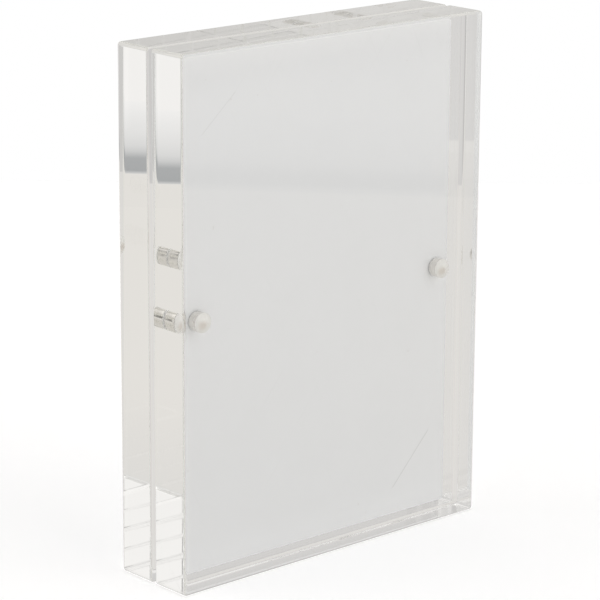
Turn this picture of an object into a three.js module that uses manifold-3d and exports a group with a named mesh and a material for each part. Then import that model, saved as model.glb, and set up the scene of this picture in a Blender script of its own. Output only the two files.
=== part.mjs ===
// A magnetic block frame: two clear acrylic blocks that hold a card between them.
// Magnets glued into blind holes, drilled from the inner faces, draw the blocks together.
// Millimetres, +Z up. X runs along the width, and the front block faces -Y.
// The origin is on the table, under the middle of the frame.

import * as THREE from 'three';
import { mergeVertices } from 'three/addons/utils/BufferGeometryUtils.js';
import Module from 'manifold-3d';

// The card on show, a 9 x 13 cm print
const CARD_WIDTH = 90;
const CARD_HEIGHT = 130;
const CARD_THICKNESS = 0.8;

// The blocks, which leave a clear margin round the card
const SIDE_MARGIN = 5;
const TOP_MARGIN = 2.5;
const BLOCK_THICKNESS = 11.7;
const EDGE_RADIUS = 0.8;
const FACE_CORNER_RADIUS = 0.2;
const CARD_CLEARANCE = 0.3;

// The magnets, let in at mid-height near both sides
const MAGNET_DIAMETER = 5;
const MAGNET_LENGTH = 4;
const MAGNET_RIM_RADIUS = 0.25;
const MAGNET_SIDE_INSET = 9.4;
const MAGNET_RECESS = 0.25;

// The holes, drilled deeper than the magnets, and the glue that fills their ends
const HOLE_CLEARANCE = 0.15;
const GLUE_DEPTH = 0.3;
const GLUE_TIP_RADIUS = 0.5;
const DRILL_POINT_ANGLE = THREE.MathUtils.degToRad(118);

// Facets: an arc gets two steps for each of its divisions
const CORNER_DIVISIONS = 4;
const EDGE_STEPS = 6;
const RIM_DIVISIONS = 1;
const ROUND_SIDES = 36;

// What follows from these sizes
const BLOCK_WIDTH = CARD_WIDTH + 2 * SIDE_MARGIN;
const BLOCK_HEIGHT = CARD_HEIGHT + 2 * TOP_MARGIN;
const INNER_GAP = CARD_THICKNESS + 2 * CARD_CLEARANCE;
const MAGNET_RADIUS = MAGNET_DIAMETER / 2;
const MAGNET_X = BLOCK_WIDTH / 2 - MAGNET_SIDE_INSET;
const MAGNET_END = MAGNET_RECESS + MAGNET_LENGTH;
const HOLE_RADIUS = MAGNET_RADIUS + HOLE_CLEARANCE;
const HOLE_DEPTH = MAGNET_END + GLUE_DEPTH;
const POINT_HALF_ANGLE = DRILL_POINT_ANGLE / 2;

const wasm = await Module();
wasm.setup();

// Finishes: polished clear acrylic, nickel plating, cured glue and white card
const acrylic = () =>
  new THREE.MeshStandardMaterial({ color: 0xe8ece8, roughness: 0.05, transparent: true, opacity: 0.35 });
const nickel = () => new THREE.MeshStandardMaterial({ color: 0xb9b6ad, roughness: 0.25, metalness: 1 });
const curedGlue = () => new THREE.MeshStandardMaterial({ color: 0xeae6dc, roughness: 0.6 });
const whiteCard = () => new THREE.MeshStandardMaterial({ color: 0xf0f0ee, roughness: 0.9 });

function named(name, geometry, material) {
  const mesh = new THREE.Mesh(geometry, material);
  mesh.name = name;
  return mesh;
}

// A closed geometry as a solid that can be cut
function toSolid(geometry) {
  const bare = geometry.clone();
  bare.deleteAttribute('normal');
  bare.deleteAttribute('uv');
  const merged = mergeVertices(bare);
  const vertProperties = new Float32Array(merged.attributes.position.array);
  const triVerts = new Uint32Array(merged.index.array);
  return new wasm.Manifold(new wasm.Mesh({ numProp: 3, vertProperties, triVerts }));
}

function toGeometry(solid) {
  const { vertProperties, triVerts } = solid.getMesh();
  const geometry = new THREE.BufferGeometry();
  geometry.setAttribute('position', new THREE.BufferAttribute(vertProperties, 3));
  geometry.setIndex(new THREE.BufferAttribute(triVerts, 1));
  geometry.computeVertexNormals();
  return geometry;
}

// A rectangle with round corners, about its own middle
function roundedRectangle(width, height, radius) {
  const x = width / 2 - radius;
  const y = height / 2 - radius;
  const quarter = Math.PI / 2;
  const outline = new THREE.Shape();
  outline.absarc(x, y, radius, 0, quarter);
  outline.absarc(-x, y, radius, quarter, 2 * quarter);
  outline.absarc(-x, -y, radius, 2 * quarter, 3 * quarter);
  outline.absarc(x, -y, radius, 3 * quarter, 4 * quarter);
  outline.closePath();
  return outline;
}

// The pieces of one half lie in front of its inner face, which is the plane y = 0 with z = 0 at
// mid-height, so -y is the depth from that face. All holes, magnets and glue turn about y.

// A drilled hole: it starts above the inner face and ends in the cone of the drill's point
function drilledHole() {
  const profile = [
    new THREE.Vector2(0, -HOLE_DEPTH - HOLE_RADIUS / Math.tan(POINT_HALF_ANGLE)),
    new THREE.Vector2(HOLE_RADIUS, -HOLE_DEPTH),
    new THREE.Vector2(HOLE_RADIUS, MAGNET_RECESS),
    new THREE.Vector2(0, MAGNET_RECESS),
  ];
  return new THREE.LatheGeometry(profile, ROUND_SIDES);
}

// A block: a slab whose edges are all rounded, with a hole near each side
function drilledBlock() {
  const face = roundedRectangle(
    BLOCK_WIDTH - 2 * EDGE_RADIUS,
    BLOCK_HEIGHT - 2 * EDGE_RADIUS,
    FACE_CORNER_RADIUS,
  );
  const slab = new THREE.ExtrudeGeometry(face, {
    depth: BLOCK_THICKNESS - 2 * EDGE_RADIUS,
    curveSegments: CORNER_DIVISIONS,
    bevelThickness: EDGE_RADIUS,
    bevelSize: EDGE_RADIUS,
    bevelSegments: EDGE_STEPS,
  });
  slab.translate(0, 0, EDGE_RADIUS);
  slab.rotateX(Math.PI / 2);
  let block = toSolid(slab);
  for (const x of [-MAGNET_X, MAGNET_X]) {
    block = block.subtract(toSolid(drilledHole().translate(x, 0, 0)));
  }
  return toGeometry(block);
}

// A plated disc magnet with rounded rims, its outer end at y = 0
function discMagnet() {
  const flat = MAGNET_RADIUS - MAGNET_RIM_RADIUS;
  const outline = new THREE.Path();
  outline.moveTo(0, -MAGNET_LENGTH);
  outline.lineTo(flat, -MAGNET_LENGTH);
  outline.absarc(flat, MAGNET_RIM_RADIUS - MAGNET_LENGTH, MAGNET_RIM_RADIUS, -Math.PI / 2, 0);
  outline.absarc(flat, -MAGNET_RIM_RADIUS, MAGNET_RIM_RADIUS, 0, Math.PI / 2);
  outline.lineTo(0, 0);
  return new THREE.LatheGeometry(outline.getPoints(RIM_DIVISIONS), ROUND_SIDES);
}

// The glue between a magnet, which ends at y = 0, and the drill's point, where its tip is blunt
function gluePlug() {
  const apex = -GLUE_DEPTH - MAGNET_RADIUS / Math.tan(POINT_HALF_ANGLE);
  const tipCentre = apex + GLUE_TIP_RADIUS / Math.sin(POINT_HALF_ANGLE);
  const outline = new THREE.Path();
  outline.absarc(0, tipCentre, GLUE_TIP_RADIUS, -Math.PI / 2, -POINT_HALF_ANGLE);
  outline.lineTo(MAGNET_RADIUS, -GLUE_DEPTH);
  outline.lineTo(MAGNET_RADIUS, -HOLE_CLEARANCE);
  outline.lineTo(0, -HOLE_CLEARANCE);
  return new THREE.LatheGeometry(outline.getPoints(RIM_DIVISIONS), ROUND_SIDES);
}

// One half of the frame: a block with its magnets and glue. The back half is a front half turned
// about the upright axis, so its left is the block's own right.
function halfFrame(half, turned) {
  const facing = turned ? -1 : 1;
  const group = new THREE.Group();
  group.position.set(0, (-facing * INNER_GAP) / 2, BLOCK_HEIGHT / 2);
  group.rotation.z = turned ? Math.PI : 0;
  group.add(named(`${half}_block`, drilledBlock(), acrylic()));
  const sides = { left: -facing * MAGNET_X, right: facing * MAGNET_X };
  for (const [side, x] of Object.entries(sides)) {
    const magnet = named(`${half}_${side}_magnet`, discMagnet(), nickel());
    magnet.position.set(x, -MAGNET_RECESS, 0);
    const plug = named(`${half}_${side}_glue`, gluePlug(), curedGlue());
    plug.position.set(x, -MAGNET_END, 0);
    group.add(magnet, plug);
  }
  return group;
}

function insertCard() {
  const sheet = new THREE.BoxGeometry(CARD_WIDTH, CARD_THICKNESS, CARD_HEIGHT);
  const card = named('insert_card', sheet, whiteCard());
  card.position.z = BLOCK_HEIGHT / 2;
  return card;
}

const blockFrame = new THREE.Group();
blockFrame.add(halfFrame('front', false), halfFrame('back', true), insertCard());

export default blockFrame;
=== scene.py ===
# A magnetic block frame: two clear acrylic blocks with a white card between them, and the disc
# magnets that draw the blocks together, glued into blind drilled holes.
# Metres, +Z up. X runs along the width, and the front block faces -Y.

import math

import bmesh
import bpy
from mathutils import Matrix, Vector


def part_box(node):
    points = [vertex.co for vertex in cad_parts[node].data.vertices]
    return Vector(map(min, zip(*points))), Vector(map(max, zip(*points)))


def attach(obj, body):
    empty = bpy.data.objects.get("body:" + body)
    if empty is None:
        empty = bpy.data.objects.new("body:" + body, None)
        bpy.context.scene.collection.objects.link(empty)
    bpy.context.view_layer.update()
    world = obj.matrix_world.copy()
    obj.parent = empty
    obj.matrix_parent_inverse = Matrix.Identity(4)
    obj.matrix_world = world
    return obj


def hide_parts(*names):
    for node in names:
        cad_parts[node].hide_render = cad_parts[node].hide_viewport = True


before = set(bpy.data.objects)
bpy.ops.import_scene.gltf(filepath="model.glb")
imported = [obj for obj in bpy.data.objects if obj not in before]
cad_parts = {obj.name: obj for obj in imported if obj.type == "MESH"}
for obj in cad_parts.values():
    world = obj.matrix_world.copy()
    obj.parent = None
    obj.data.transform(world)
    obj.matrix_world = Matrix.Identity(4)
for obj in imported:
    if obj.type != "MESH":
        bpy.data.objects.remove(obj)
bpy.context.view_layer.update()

MM = 0.001
HALVES = ("front", "back")
SIDES = ("left", "right")

# The blocks' polished rounding, tighter round the inner faces, and the steps that make it smooth
EDGE_RADIUS = 0.8 * MM
INNER_EDGE_RADIUS = 0.5 * MM
CORNER_RADIUS = 1.0 * MM
EDGE_STEPS = 20
CORNER_STEPS = 14

# The drilled holes, which hug the magnets and the glue and end in the cone of the drill's point
BOND = 0.01 * MM
POINT_HALF_ANGLE = math.radians(118 / 2)

# The magnets' rounded rims, and the glue behind each magnet and round its inner rim
MAGNET_RIM_RADIUS = 0.25 * MM
GLUE_DEPTH = 0.3 * MM
GLUE_TIP_RADIUS = 0.5 * MM
GLUE_SEEP = 0.2 * MM
RIM_STEPS = 6
TIP_STEPS = 6
ROUND_STEPS = 72

# The card's trimmed corners and edges
CARD_CORNER_RADIUS = 0.4 * MM
CARD_EDGE_RADIUS = 0.1 * MM
CARD_STEPS = 4

# Where points count as one or as level, edges as along an axis or as sharp, and faces as flat
MERGE_DISTANCE = 0.0001 * MM
LEVEL_DISTANCE = 0.001 * MM
ALONG_COSINE = 0.99
SHARP_ANGLE = 1.0
FLAT_AREA = 50 * MM * MM

# How clear acrylic bends and dims light
ACRYLIC_IOR = 1.49
ACRYLIC_TINT = (0.975, 0.98, 0.965, 1)
ACRYLIC_DENSITY = 1.5

# Two hairline scratches on the front face, each from one (x, z) to another, with its strength
SCRATCHES = (
    ((20.2 * MM, 12.9 * MM), (32.6 * MM, 25.9 * MM), 1.0),
    ((-44.1 * MM, 115.2 * MM), (-33.8 * MM, 124.2 * MM), 0.45),
)
SCRATCH_WIDTH = 0.2 * MM
SCRATCH_ROUGHNESS = 0.2
SCRATCH_TINT = (0.76, 0.76, 0.75, 1)

# Faint marks of wiping on the outer faces: how far each set leans, and the noise that shows as marks
WIPING_TURNS = (math.radians(40), math.radians(-25))
WIPING_LEVELS = (0.68, 0.76)
WIPING_TINT = (0.95, 0.95, 0.945, 1)

# The depths below a face at which its marks start to fade and are gone
MARK_FADE = (0.05 * MM, 0.1 * MM)

# The glue's painted shade: how far its patch lies off the middle, the radii over which it fades, and
# how unevenly
SHADE_PATCH_SHIFT = 0.5 * MM
SHADE_PATCH_FADE = (0.6 * MM, 2.0 * MM)
SHADE_PATCH_WOBBLE = 0.4 * MM

# The noise that shows as flecks in the card
FLECK_LEVELS = (0.78, 0.82)

# Colours of the finishes
WHITE = (1, 1, 1, 1)
NICKEL_DULL = (0.70, 0.68, 0.63, 1)
NICKEL_BRIGHT = (0.92, 0.90, 0.87, 1)
# The glue's painted shade: a grey with a faint warm tint
GLUE_PAINTED_SHADE = (0.82, 0.775, 0.725, 1)
GLUE_WHITE = (0.97, 0.965, 0.94, 1)
PAPER_DULL = (0.922, 0.936, 0.952, 1)
PAPER_BRIGHT = (0.947, 0.961, 0.977, 1)
PAPER_FLECK = (0.865, 0.87, 0.875, 1)


# Shader maths

class Field:
    """A number that varies over a surface: arithmetic on it adds Math nodes."""

    def __init__(self, nodes, socket):
        self.nodes = nodes
        self.socket = socket

    def __add__(self, other):
        return self.nodes.maths("ADD", self, other)

    def __radd__(self, other):
        return self.nodes.maths("ADD", other, self)

    def __sub__(self, other):
        return self.nodes.maths("SUBTRACT", self, other)

    def __rsub__(self, other):
        return self.nodes.maths("SUBTRACT", other, self)

    def __mul__(self, other):
        return self.nodes.maths("MULTIPLY", self, other)

    def __rmul__(self, other):
        return self.nodes.maths("MULTIPLY", other, self)

    def __truediv__(self, other):
        return self.nodes.maths("DIVIDE", self, other)

    def __pow__(self, other):
        return self.nodes.maths("POWER", self, other)

    def __abs__(self):
        return self.nodes.maths("ABSOLUTE", self, 0)


class Nodes:
    """The node tree of a material or of the world, filled one call at a time."""

    def __init__(self, owner):
        owner.use_nodes = True
        self.tree = owner.node_tree
        self.tree.nodes.clear()

    def add(self, kind, settings=None, sockets=None, output=0):
        """Adds a node: its settings first, then a value or a link for each named socket."""
        node = self.tree.nodes.new(kind)
        for key, value in (settings or {}).items():
            if key == "stops":
                self.set_stops(node.color_ramp, value)
            else:
                setattr(node, key, value)
        for key, value in (sockets or {}).items():
            if isinstance(value, Field):
                self.tree.links.new(value.socket, node.inputs[key])
            else:
                node.inputs[key].default_value = value
        return Field(self, node.outputs[output]) if node.outputs else None

    @staticmethod
    def set_stops(ramp, stops):
        while len(ramp.elements) < len(stops):
            ramp.elements.new(1)
        for element, (place, level) in zip(ramp.elements, stops):
            element.position = place
            element.color = (level, level, level, 1)

    def maths(self, operation, first, second):
        return self.add("ShaderNodeMath", {"operation": operation}, {0: first, 1: second})

    def blend(self, mask, first, second):
        """The first colour where the mask is 0, the second where it is 1."""
        return self.add("ShaderNodeMix", {"data_type": "RGBA"}, {0: mask, 6: first, 7: second}, 2)

    def step(self, field, start, end):
        """0 before start, 1 after end, and smooth between them."""
        sockets = {"Value": field, "From Min": start, "From Max": end}
        return self.add("ShaderNodeMapRange", {"interpolation_type": "SMOOTHSTEP"}, sockets)

    def share(self, field, start, end):
        """How far the field is from start to end, kept between 0 and 1."""
        sockets = {"Value": field, "From Min": start, "From Max": end}
        return self.add("ShaderNodeMapRange", {}, sockets)

    def place(self, stretch=(1, 1, 1), turn=(0, 0, 0)):
        """Object coordinates for a pattern that is stretched along its own turned axes."""
        spot = self.add("ShaderNodeTexCoord", output=3)
        sockets = {"Vector": spot, "Rotation": turn, "Scale": stretch}
        return self.add("ShaderNodeMapping", {"vector_type": "TEXTURE"}, sockets)

    def axes(self):
        """The object's x, y and z, each as a field."""
        spot = self.add("ShaderNodeTexCoord", output=3)
        return [self.add("ShaderNodeSeparateXYZ", {}, {0: spot}, i) for i in range(3)]

    def noise(self, spot, scale, detail=3.0, roughness=0.55):
        sockets = {"Vector": spot, "Scale": scale, "Detail": detail, "Roughness": roughness}
        return self.add("ShaderNodeTexNoise", {}, sockets)

    def bump(self, height, distance, strength=1.0):
        sockets = {"Height": height, "Distance": distance, "Strength": strength}
        return self.add("ShaderNodeBump", {}, sockets)

    def surface(self, shader, volume=None):
        sockets = {"Surface": shader}
        if volume:
            sockets["Volume"] = volume
        self.add("ShaderNodeOutputMaterial", {}, sockets)


def new_finish(name):
    material = bpy.data.materials.new(name)
    return material, Nodes(material)


# Finishes

def scratch_mask(n, start, end):
    """1 on a hairline that runs from start to end on the front face, 0 elsewhere."""
    x, y, z = n.axes()
    run_x, run_z = end[0] - start[0], end[1] - start[1]
    length = math.hypot(run_x, run_z)
    travelled = (x - start[0]) * (run_x / length) + (z - start[1]) * (run_z / length)
    along = n.share(travelled, 0, length)
    off_x = x - start[0] - along * run_x
    off_z = z - start[1] - along * run_z
    distance = (off_x * off_x + off_z * off_z) ** 0.5
    front_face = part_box("front_block")[0].y
    near = 1 - n.step(abs(y - front_face), *MARK_FADE)
    return near * (1 - n.step(distance, 0.3 * SCRATCH_WIDTH, SCRATCH_WIDTH))


def wiping_mask(n, turn):
    """1 on faint hairlines that wiping leaves on the outer faces, in one direction from upright."""
    streaks = n.noise(n.place(stretch=(1, 1, 80), turn=(0, turn, 0)), scale=2500, detail=1)
    outer_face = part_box("back_block")[1].y
    near = 1 - n.step(outer_face - abs(n.axes()[1]), *MARK_FADE)
    return near * n.step(streaks, *WIPING_LEVELS)


def acrylic_volume(n):
    sockets = {"Color": ACRYLIC_TINT, "Density": ACRYLIC_DENSITY}
    return n.add("ShaderNodeVolumeAbsorption", {}, sockets)


def clear_acrylic():
    """Polished cast acrylic: clear, faintly warm through its length, with hairline scratches."""
    material, n = new_finish("clear_acrylic")
    first, second = (strength * scratch_mask(n, start, end) for start, end, strength in SCRATCHES)
    scratch = n.maths("MAXIMUM", first, second)
    rising, falling = (wiping_mask(n, turn) for turn in WIPING_TURNS)
    wiped = n.blend(n.maths("MAXIMUM", rising, falling), WHITE, WIPING_TINT)
    shader = n.add("ShaderNodeBsdfPrincipled", {}, {
        "Base Color": n.blend(scratch, wiped, SCRATCH_TINT),
        "Roughness": SCRATCH_ROUGHNESS * scratch,
        "IOR": ACRYLIC_IOR,
        "Transmission Weight": 1.0,
    })
    n.surface(shader, acrylic_volume(n))
    return material


def drilled_acrylic():
    """The wall of a drilled hole: satin, with the rings that the drill leaves."""
    material, n = new_finish("drilled_acrylic")
    rings = n.noise(n.place(stretch=(20, 1, 20)), scale=4000, detail=2)
    shader = n.add("ShaderNodeBsdfPrincipled", {}, {
        "Base Color": WHITE,
        "Roughness": 0.05 + 0.1 * rings,
        "IOR": ACRYLIC_IOR,
        "Transmission Weight": 1.0,
        "Normal": n.bump(rings, distance=0.02 * MM),
    })
    n.surface(shader, acrylic_volume(n))
    return material


def nickel_plating():
    """Bright nickel on a disc magnet, tumbled, with faint bands round it."""
    material, n = new_finish("nickel_plating")
    bands = n.noise(n.place(stretch=(10, 1, 10)), scale=1500, detail=3)
    shader = n.add("ShaderNodeBsdfPrincipled", {}, {
        "Base Color": n.blend(bands, NICKEL_DULL, NICKEL_BRIGHT),
        "Metallic": 1.0,
        "Roughness": 0.14 + 0.12 * bands,
    })
    n.surface(shader)
    return material


def cured_glue():
    """White cured glue, with a patch of painted shade, faintly warm, a little low and to the left of
    its middle.
    """
    material, n = new_finish("cured_glue")
    middle = magnet_axis("front", "right")[0]
    x, _, z = n.axes()
    off_x = abs(x + SHADE_PATCH_SHIFT) - middle.x
    off_z = z + SHADE_PATCH_SHIFT - middle.z
    radius = (off_x * off_x + off_z * off_z) ** 0.5
    cloud = n.noise(n.place(), scale=900, detail=3)
    # Painted shade: the patch is darkest near its middle and fades outwards to plain white glue
    unshaded = n.step(radius + SHADE_PATCH_WOBBLE * cloud, *SHADE_PATCH_FADE)
    shader = n.add("ShaderNodeBsdfPrincipled", {}, {
        "Base Color": n.blend(unshaded, GLUE_PAINTED_SHADE, GLUE_WHITE),
        "Roughness": 0.4 + 0.15 * cloud,
        "Normal": n.bump(cloud, distance=0.05 * MM),
    })
    n.surface(shader)
    return material


def white_card():
    """Uncoated white card with a fine tooth and a few pale flecks."""
    material, n = new_finish("white_card")
    tooth = n.noise(n.place(), scale=2500, detail=4)
    cloud = n.noise(n.place(), scale=60, detail=3)
    paper = n.blend(cloud, PAPER_DULL, PAPER_BRIGHT)
    fleck = n.step(n.noise(n.place(), scale=700, detail=1), *FLECK_LEVELS)
    shader = n.add("ShaderNodeBsdfPrincipled", {}, {
        "Base Color": n.blend(fleck, paper, PAPER_FLECK),
        "Roughness": 0.75 + 0.15 * tooth,
        "Normal": n.bump(tooth, distance=0.02 * MM, strength=0.5),
    })
    n.surface(shader)
    return material


# Meshes

def edges_along_y(mesh):
    runs = [(edge, (edge.verts[0].co - edge.verts[1].co).normalized()) for edge in mesh.edges]
    return [edge for edge, run in runs if abs(run.y) > ALONG_COSINE]


def edges_at_y(mesh, y):
    return [e for e in mesh.edges if all(abs(v.co.y - y) < LEVEL_DISTANCE for v in e.verts)]


def round_off(mesh, edges, radius, steps):
    bmesh.ops.bevel(mesh, geom=edges, offset=radius, affect="EDGES", segments=steps, profile=0.5,
                    material=-1, clamp_overlap=False)


def slab(low, high):
    """A box between two corners."""
    mesh = bmesh.new()
    bmesh.ops.create_cube(mesh, size=1)
    bmesh.ops.scale(mesh, vec=high - low, verts=mesh.verts)
    bmesh.ops.translate(mesh, vec=(low + high) / 2, verts=mesh.verts)
    return mesh


def turn_profile(mesh, profile, centre):
    """Spins a chain of (radius, y) points round the axis along Y through the centre."""
    chain = [mesh.verts.new(centre + Vector((radius, y, 0))) for radius, y in profile]
    edges = [mesh.edges.new(pair) for pair in zip(chain, chain[1:])]
    bmesh.ops.spin(mesh, geom=chain + edges, cent=centre, axis=(0, 1, 0), angle=math.tau,
                   steps=ROUND_STEPS, use_merge=True)
    bmesh.ops.remove_doubles(mesh, verts=mesh.verts, dist=MERGE_DISTANCE)


def shade_smooth(faces):
    """Smooth shading on the small faces of curves; large plane faces stay flat."""
    for face in faces:
        face.smooth = face.calc_area() < FLAT_AREA


def to_object(mesh, name, materials):
    bmesh.ops.recalc_face_normals(mesh, faces=mesh.faces)
    data = bpy.data.meshes.new(name)
    mesh.to_mesh(data)
    mesh.free()
    for material in materials:
        data.materials.append(material)
    made = bpy.data.objects.new(name, data)
    bpy.context.scene.collection.objects.link(made)
    return made


def to_piece(mesh, name, materials, node, body):
    """Makes a finished piece that stands for a CAD node and moves with its body."""
    piece = to_object(mesh, name, materials)
    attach(piece, body)
    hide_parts(node)


# Pieces

def facing(half):
    """+1 where the inner face looks along +Y, as on the front block, and -1 on the back one."""
    return 1 if half == "front" else -1


def magnet_axis(half, side):
    """The middle of a magnet, its radius and its length."""
    low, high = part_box(f"{half}_{side}_magnet")
    return (low + high) / 2, (high.z - low.z) / 2, high.y - low.y


def drill(mesh, half, side, inner_y):
    """The wall and the pointed end of a blind hole that starts at the inner face."""
    middle, radius, length = magnet_axis(half, side)
    wide = radius - BOND
    magnet_end = middle.y - facing(half) * length / 2
    wall_end = magnet_end - facing(half) * GLUE_DEPTH
    point = wall_end - facing(half) * (wide - BOND) / math.tan(POINT_HALF_ANGLE)
    profile = [(wide, inner_y), (wide, wall_end), (0, point)]
    turn_profile(mesh, profile, Vector((middle.x, 0, middle.z)))


def make_block(half, polished, drilled):
    """A slab with all its edges rounded and two holes drilled from its inner face."""
    node = f"{half}_block"
    low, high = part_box(node)
    inner_y, outer_y = (high.y, low.y) if half == "front" else (low.y, high.y)
    mesh = slab(low, high)
    round_off(mesh, edges_along_y(mesh), CORNER_RADIUS, CORNER_STEPS)
    round_off(mesh, edges_at_y(mesh, outer_y), EDGE_RADIUS, EDGE_STEPS)
    round_off(mesh, edges_at_y(mesh, inner_y), INNER_EDGE_RADIUS, EDGE_STEPS)
    inner = max(mesh.faces, key=lambda face: facing(half) * face.calc_center_median().y)
    bmesh.ops.delete(mesh, geom=[inner], context="FACES_ONLY")
    shade_smooth(mesh.faces)
    skin = set(mesh.faces)
    for side in SIDES:
        drill(mesh, half, side, inner_y)
    walls = [face for face in mesh.faces if face not in skin]
    for face in walls:
        face.material_index = 1
    shade_smooth(walls)
    rims = [edge for edge in mesh.edges if edge.is_boundary]
    bmesh.ops.triangle_fill(mesh, use_beauty=True, edges=rims, normal=(0, facing(half), 0))
    to_piece(mesh, f"polished_{node}", [polished, drilled], node, half)


def make_magnet(half, side, plated):
    """A plated disc with rounded rims."""
    node = f"{half}_{side}_magnet"
    middle, radius, length = magnet_axis(half, side)
    mesh = bmesh.new()
    ends = (-length / 2, length / 2)
    profile = [(0, ends[0]), (radius, ends[0]), (radius, ends[1]), (0, ends[1])]
    turn_profile(mesh, profile, middle)
    rims = [e for e in mesh.edges if e.is_manifold and e.calc_face_angle() > SHARP_ANGLE]
    round_off(mesh, rims, MAGNET_RIM_RADIUS, RIM_STEPS)
    shade_smooth(mesh.faces)
    to_piece(mesh, f"plated_{node}", [plated], node, half)


def arc(radius, start, end, steps):
    """Points on an arc about the origin, from one angle to another."""
    turns = [start + (end - start) * i / steps for i in range(steps + 1)]
    return [(radius * math.cos(turn), radius * math.sin(turn)) for turn in turns]


def glue_profiles(radius):
    """The outlines of a plug and of a seeped ring, as (radius, depth) points. The depth is from the
    magnet's end: both wrap the magnet's rim, and the plug has a blunt tip in the drill's point."""
    bend = arc(MAGNET_RIM_RADIUS, math.pi / 2, 0, RIM_STEPS)
    flat = radius - MAGNET_RIM_RADIUS
    rim = [(flat + out, rise - MAGNET_RIM_RADIUS) for out, rise in bend]
    apex = GLUE_DEPTH + radius / math.tan(POINT_HALF_ANGLE)
    tip_centre = apex - GLUE_TIP_RADIUS / math.sin(POINT_HALF_ANGLE)
    blunt = arc(GLUE_TIP_RADIUS, POINT_HALF_ANGLE, math.pi / 2, TIP_STEPS)[:-1]
    tip = [(out, tip_centre + rise) for out, rise in blunt]
    plug = [(0, 0), *rim, (radius, GLUE_DEPTH), *tip, (0, tip_centre + GLUE_TIP_RADIUS)]
    ring = [*rim, (radius, GLUE_SEEP), rim[0]]
    return plug, ring


def make_glue(half, side, cured):
    """The plug behind a magnet, and the ring of glue that has seeped round to its inner rim."""
    node = f"{half}_{side}_glue"
    outward = -facing(half)
    centre, radius, length = magnet_axis(half, side)
    outer_end = centre.y + outward * length / 2
    inner_end = centre.y - outward * length / 2
    plug, ring = glue_profiles(radius)
    axis = Vector((centre.x, 0, centre.z))
    mesh = bmesh.new()
    turn_profile(mesh, [(r, outer_end + outward * depth) for r, depth in plug], axis)
    turn_profile(mesh, [(r, inner_end - outward * depth) for r, depth in ring], axis)
    shade_smooth(mesh.faces)
    to_piece(mesh, f"cured_{node}", [cured], node, half)


def make_card(paper):
    """A card with trimmed corners and softened edges."""
    low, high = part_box("insert_card")
    mesh = slab(low, high)
    round_off(mesh, edges_along_y(mesh), CARD_CORNER_RADIUS, CARD_STEPS)
    rims = edges_at_y(mesh, low.y) + edges_at_y(mesh, high.y)
    round_off(mesh, rims, CARD_EDGE_RADIUS, CARD_STEPS)
    shade_smooth(mesh.faces)
    to_piece(mesh, "trimmed_card", [paper], "insert_card", "card")


polished = clear_acrylic()
drilled = drilled_acrylic()
plated = nickel_plating()
cured = cured_glue()
for half in HALVES:
    make_block(half, polished, drilled)
    for side in SIDES:
        make_magnet(half, side, plated)
        make_glue(half, side, cured)
make_card(white_card())


# Table, light and camera

CAMERA_PLACE = (-0.46643, -0.51799, 0.25314)
CAMERA_YAW = math.radians(41.91)
CAMERA_PITCH = math.radians(15.15)
CAMERA_ROLL = math.radians(0.315)
CAMERA_LENS = 170.3

# A pale table top, turned to face the camera: white to the camera itself, and to acrylic and metal
# a glow of painted light at a plain pale level, which changes from left to right
TABLE_LOW = Vector((-440, -420, -20)) * MM
TABLE_HIGH = Vector((415, 420, -0.1)) * MM
TABLE_SEEN = (1.16, 1.17, 1.19, 1)
TABLE_LEFT = (0.72, 0.705, 0.68, 1)
TABLE_RIGHT = (0.78, 0.757, 0.718, 1)
TABLE_CHANGE = (0, 140 * MM)

# A strip beyond the table's right side that glows with painted shade, dark at its foot and lighter
# upwards; only acrylic and metal show it
STRIP_THICKNESS = 4 * MM
STRIP_HEIGHT = 29 * MM
STRIP_DARK = (0.36, 0.37, 0.375, 1)
STRIP_LIGHT = (0.92, 0.91, 0.895, 1)
STRIP_FADE = ((0, 0.45), (0.04, 0), (0.22, 0.03), (0.32, 0.43), (0.4, 0.6), (0.56, 0.73), (1, 0.97))

# Soft light that grows upwards, to the left and to the front. Below the horizon, beyond the table,
# its level changes from front to behind. Each part of the room that is duller or brighter has a
# direction, the cosines at which its change starts and is full, and the size of that change.
LIGHT_COLOUR = (1.0, 0.984, 0.962, 1)
SKY_LEVEL = 0.605
SKY_RISE = (-0.11, -0.22, 0.65)
HORIZON_BLUR = 0.01
GROUND_FADE = ((0.2, 0.93), (0.6, 0.65), (0.84, 0.64), (1, 0.43))
ROOM_PARTS = (
    ((-0.5, -0.64, 0.56), (0.86, 0.95), -0.95),
    ((-0.42, 0.67, 0.62), (0.93, 0.99), -0.2),
    ((0.64, -0.05, 0.77), (0.75, 0.95), -0.15),
    ((0.72, 0.67, 0.16), (0.985, 0.999), 0.25),
)

# Light takes long paths inside the blocks
BOUNCES = 256
SURE_BOUNCES = 64


def to_stage(mesh, name, material):
    stage = to_object(mesh, name, [material])
    stage.matrix_world = Matrix.Rotation(-CAMERA_YAW, 4, "Z")
    return stage


def make_table():
    """A pale table top that keeps the object's shadow to the camera; acrylic and metal see its glow.
    """
    material, n = new_finish("pale_table")
    seen = n.add("ShaderNodeLightPath")
    white = n.add("ShaderNodeBsdfDiffuse", {}, {"Color": TABLE_SEEN})
    right = n.step(n.axes()[0], *TABLE_CHANGE)
    # Painted light: acrylic and metal see an even glow, a little brighter to the right
    shown = n.add("ShaderNodeEmission", {}, {"Color": n.blend(right, TABLE_LEFT, TABLE_RIGHT)})
    n.surface(n.add("ShaderNodeMixShader", {}, {0: seen, 1: shown, 2: white}))
    to_stage(slab(TABLE_LOW, TABLE_HIGH), "table", material)


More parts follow.
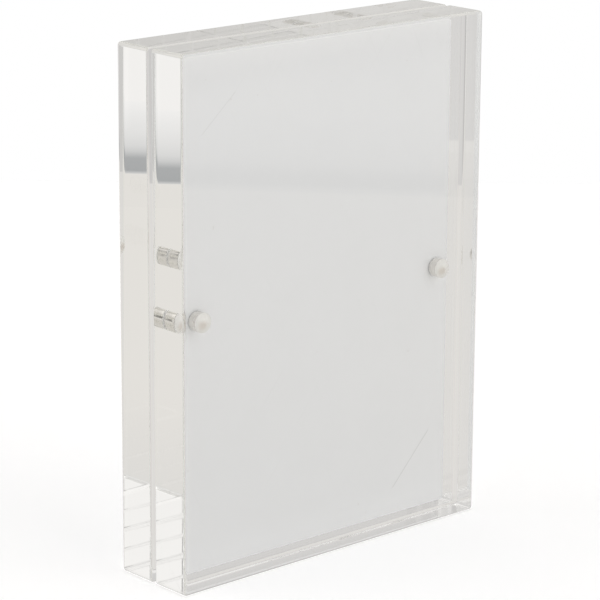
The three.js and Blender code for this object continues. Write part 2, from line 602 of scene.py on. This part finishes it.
def make_strip():
    """The dark strip, kept out of the camera's direct sight and of the light on the table."""
    material, n = new_finish("dark_strip")
    height = n.axes()[2] / STRIP_HEIGHT
    fade = n.add("ShaderNodeValToRGB", {"stops": STRIP_FADE}, {0: height})
    shown = n.blend(fade, STRIP_DARK, STRIP_LIGHT)
    # The strip glows with these colours: painted shade, darkest at its foot
    n.surface(n.add("ShaderNodeEmission", {}, {"Color": shown}))
    low = Vector((TABLE_HIGH.x, TABLE_LOW.y, TABLE_HIGH.z))
    high = Vector((TABLE_HIGH.x + STRIP_THICKNESS, TABLE_HIGH.y, STRIP_HEIGHT))
    strip = to_stage(slab(low, high), "strip", material)
    strip.visible_camera = False
    strip.visible_diffuse = False
    strip.visible_shadow = False


def make_world():
    """Light from the sky and the ground beyond the table; the camera itself sees plain white."""
    world = bpy.data.worlds.new("studio")
    bpy.context.scene.world = world
    n = Nodes(world)
    towards = n.add("ShaderNodeTexCoord")

    def along(slope):
        sockets = {0: towards, 1: slope}
        return n.add("ShaderNodeVectorMath", {"operation": "DOT_PRODUCT"}, sockets, "Value")

    up = n.step(along((0, 0, 1)), -HORIZON_BLUR, HORIZON_BLUR)
    sky = SKY_LEVEL + along(SKY_RISE)
    behind = 0.5 + 0.5 * along((0, 1, 0))
    ground = n.add("ShaderNodeValToRGB", {"stops": GROUND_FADE}, {0: behind})
    lit = sky * up + ground * (1 - up)
    for direction, edge, change in ROOM_PARTS:
        lit = lit * (1 + change * n.step(along(Vector(direction).normalized()), *edge))
    seen = n.add("ShaderNodeLightPath")
    colour = n.blend(seen, LIGHT_COLOUR, WHITE)
    strength = lit + seen * (1 - lit)
    light = n.add("ShaderNodeBackground", {}, {"Color": colour, "Strength": strength})
    n.add("ShaderNodeOutputWorld", {}, {"Surface": light})


def make_camera():
    data = bpy.data.cameras.new("camera")
    data.lens = CAMERA_LENS
    camera = bpy.data.objects.new("camera", data)
    bpy.context.scene.collection.objects.link(camera)
    camera.matrix_world = (
        Matrix.Translation(CAMERA_PLACE)
        @ Matrix.Rotation(-CAMERA_YAW, 4, "Z")
        @ Matrix.Rotation(math.pi / 2 - CAMERA_PITCH, 4, "X")
        @ Matrix.Rotation(CAMERA_ROLL, 4, "Z")
    )
    bpy.context.scene.camera = camera


make_table()
make_strip()
make_world()
make_camera()

scene = bpy.context.scene
scene.view_settings.view_transform = "Standard"
scene.cycles.max_bounces = BOUNCES
scene.cycles.min_light_bounces = SURE_BOUNCES
scene.cycles.glossy_bounces = BOUNCES
scene.cycles.transmission_bounces = BOUNCES
scene.cycles.blur_glossy = 0
scene.cycles.sampling_pattern = "TABULATED_SOBOL"
